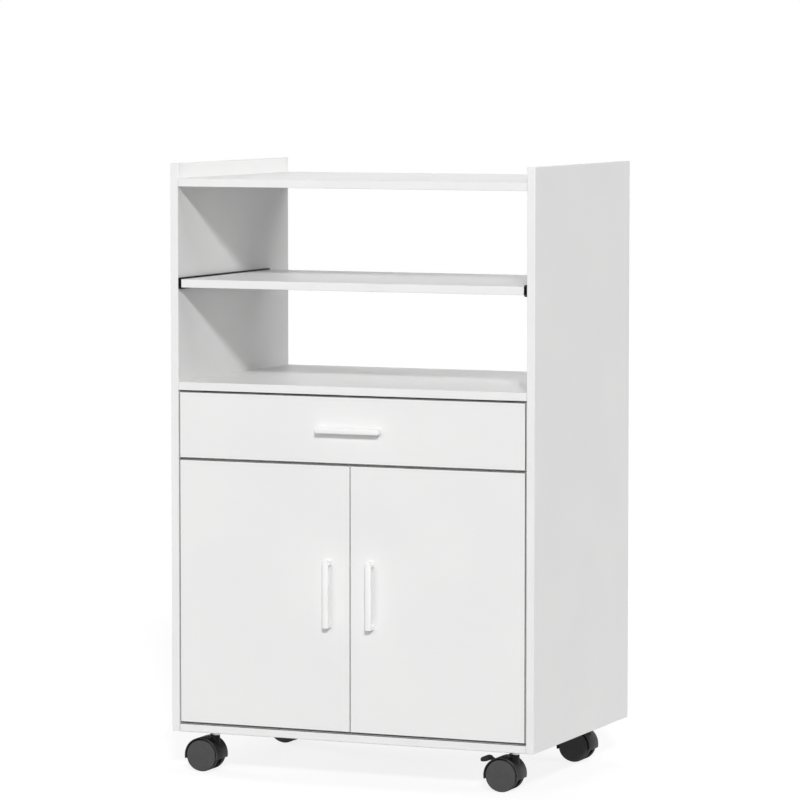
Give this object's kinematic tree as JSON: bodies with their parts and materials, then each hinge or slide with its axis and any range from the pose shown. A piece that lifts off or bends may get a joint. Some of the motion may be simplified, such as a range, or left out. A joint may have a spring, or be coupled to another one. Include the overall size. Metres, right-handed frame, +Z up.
{
  "type": "microwave cart",
  "caption": "White microwave cart on twin-wheel casters: open top between raised sides, pull-out shelf, fixed shelf, flush drawer and a flush two-door cabinet.",
  "frame": {"origin": "on the floor under the centre of the cart's outer box, handles included", "axes": "+Z up, -Y towards the doors and drawer front, +X to the right of a person facing the doors"},
  "size_m": [0.6, 0.426, 0.9445],
  "materials": {
    "laminate": "particle board with smooth satin white laminate and matching edge band",
    "hardboard": "thin hardboard, white lacquered on the face",
    "handle_enamel": "glossy white enamel",
    "slide_black": "black electrophoretic coat, satin",
    "zinc": "bright zinc or nickel plated steel",
    "hood_plastic": "moulded black nylon, satin",
    "wheel_plastic": "moulded dark grey nylon, matte",
    "catch_plastic": "moulded white plastic"
  },
  "bodies": {
    "cabinet": {"left_side_panel": "laminate", "right_side_panel": "laminate", "top_shelf": "laminate", "fixed_shelf": "laminate", "bottom_panel": "laminate", "divider_rail": "laminate", "back_panel": "hardboard", "left_shelf_slide_outer": "slide_black", "right_shelf_slide_outer": "slide_black", "left_drawer_slide_outer": "slide_black", "right_drawer_slide_outer": "slide_black", "left_upper_hinge_arm": "zinc", "left_lower_hinge_arm": "zinc", "right_upper_hinge_arm": "zinc", "right_lower_hinge_arm": "zinc", "magnetic_catch": "catch_plastic", "front_left_caster_plate": "zinc", "front_right_caster_plate": "zinc", "rear_left_caster_plate": "zinc", "rear_right_caster_plate": "zinc"},
    "sliding_shelf": {"pull_out_shelf": "laminate", "left_shelf_slide_inner": "slide_black", "right_shelf_slide_inner": "slide_black"},
    "drawer": {"drawer_front": "laminate", "drawer_side_left": "laminate", "drawer_side_right": "laminate", "drawer_back": "laminate", "drawer_bottom": "hardboard", "drawer_handle": "handle_enamel", "left_drawer_slide_inner": "slide_black", "right_drawer_slide_inner": "slide_black"},
    "left_door_leaf": {"left_door": "laminate", "left_door_handle": "handle_enamel", "left_upper_hinge_cup": "zinc", "left_lower_hinge_cup": "zinc", "left_strike_plate": "zinc"},
    "right_door_leaf": {"right_door": "laminate", "right_door_handle": "handle_enamel", "right_upper_hinge_cup": "zinc", "right_lower_hinge_cup": "zinc", "right_strike_plate": "zinc"},
    "front_left_caster": {"front_left_caster_hood": "hood_plastic", "front_left_caster_axle": "zinc"},
    "front_right_caster": {"front_right_caster_hood": "hood_plastic", "front_right_caster_axle": "zinc"},
    "rear_left_caster": {"rear_left_caster_hood": "hood_plastic", "rear_left_caster_axle": "zinc"},
    "rear_right_caster": {"rear_right_caster_hood": "hood_plastic", "rear_right_caster_axle": "zinc"},
    "front_left_wheel_fore": {"front_left_fore_wheel": "wheel_plastic"},
    "front_left_wheel_aft": {"front_left_aft_wheel": "wheel_plastic"},
    "front_right_wheel_fore": {"front_right_fore_wheel": "wheel_plastic"},
    "front_right_wheel_aft": {"front_right_aft_wheel": "wheel_plastic"},
    "rear_left_wheel_fore": {"rear_left_fore_wheel": "wheel_plastic"},
    "rear_left_wheel_aft": {"rear_left_aft_wheel": "wheel_plastic"},
    "rear_right_wheel_fore": {"rear_right_fore_wheel": "wheel_plastic"},
    "rear_right_wheel_aft": {"rear_right_aft_wheel": "wheel_plastic"},
    "front_right_brake": {"front_right_brake_lever": "hood_plastic"},
    "rear_right_brake": {"rear_right_brake_lever": "hood_plastic"}
  },
  "joints": [
    {"name": "shelf_slide", "type": "slide", "parent": "cabinet", "child": "sliding_shelf", "axis": [0, -1, 0], "range_m": [0, 0.2]},
    {"name": "drawer_slide", "type": "slide", "parent": "cabinet", "child": "drawer", "axis": [0, -1, 0], "range_m": [0, 0.25]},
    {"name": "left_door_hinge", "type": "hinge", "parent": "cabinet", "child": "left_door_leaf", "pos_m": [-0.2856, -0.198, 0.28555], "axis": [0, 0, -1], "range_deg": [0, 105]},
    {"name": "right_door_hinge", "type": "hinge", "parent": "cabinet", "child": "right_door_leaf", "pos_m": [0.2856, -0.198, 0.28555], "axis": [0, 0, 1], "range_deg": [0, 105]},
    {"name": "front_left_swivel", "type": "hinge", "parent": "cabinet", "child": "front_left_caster", "pos_m": [-0.25, -0.148, 0.05], "axis": [0, 0, 1], "continuous": true},
    {"name": "front_right_swivel", "type": "hinge", "parent": "cabinet", "child": "front_right_caster", "pos_m": [0.25, -0.148, 0.05], "axis": [0, 0, 1], "continuous": true},
    {"name": "rear_left_swivel", "type": "hinge", "parent": "cabinet", "child": "rear_left_caster", "pos_m": [-0.25, 0.163, 0.05], "axis": [0, 0, 1], "continuous": true},
    {"name": "rear_right_swivel", "type": "hinge", "parent": "cabinet", "child": "rear_right_caster", "pos_m": [0.25, 0.163, 0.05], "axis": [0, 0, 1], "continuous": true},
    {"name": "front_left_fore_roll", "type": "hinge", "parent": "front_left_caster", "child": "front_left_wheel_fore", "pos_m": [-0.2658, -0.1613, 0.025], "axis": [0, 1, 0], "continuous": true},
    {"name": "front_left_aft_roll", "type": "hinge", "parent": "front_left_caster", "child": "front_left_wheel_aft", "pos_m": [-0.2658, -0.1347, 0.025], "axis": [0, 1, 0], "continuous": true},
    {"name": "front_right_fore_roll", "type": "hinge", "parent": "front_right_caster", "child": "front_right_wheel_fore", "pos_m": [0.2342, -0.1613, 0.025], "axis": [0, 1, 0], "continuous": true},
    {"name": "front_right_aft_roll", "type": "hinge", "parent": "front_right_caster", "child": "front_right_wheel_aft", "pos_m": [0.2342, -0.1347, 0.025], "axis": [0, 1, 0], "continuous": true},
    {"name": "rear_left_fore_roll", "type": "hinge", "parent": "rear_left_caster", "child": "rear_left_wheel_fore", "pos_m": [-0.2658, 0.1497, 0.025], "axis": [0, 1, 0], "continuous": true},
    {"name": "rear_left_aft_roll", "type": "hinge", "parent": "rear_left_caster", "child": "rear_left_wheel_aft", "pos_m": [-0.2658, 0.1763, 0.025], "axis": [0, 1, 0], "continuous": true},
    {"name": "rear_right_fore_roll", "type": "hinge", "parent": "rear_right_caster", "child": "rear_right_wheel_fore", "pos_m": [0.2342, 0.1497, 0.025], "axis": [0, 1, 0], "continuous": true},
    {"name": "rear_right_aft_roll", "type": "hinge", "parent": "rear_right_caster", "child": "rear_right_wheel_aft", "pos_m": [0.2342, 0.1763, 0.025], "axis": [0, 1, 0], "continuous": true},
    {"name": "front_right_brake_press", "type": "hinge", "parent": "front_right_caster", "child": "front_right_brake", "pos_m": [0.2202, -0.148, 0.042], "axis": [0, -1, 0], "range_deg": [0, 15]},
    {"name": "rear_right_brake_press", "type": "hinge", "parent": "rear_right_caster", "child": "rear_right_brake", "pos_m": [0.2202, 0.163, 0.042], "axis": [0, -1, 0], "range_deg": [0, 15]}
  ]
}
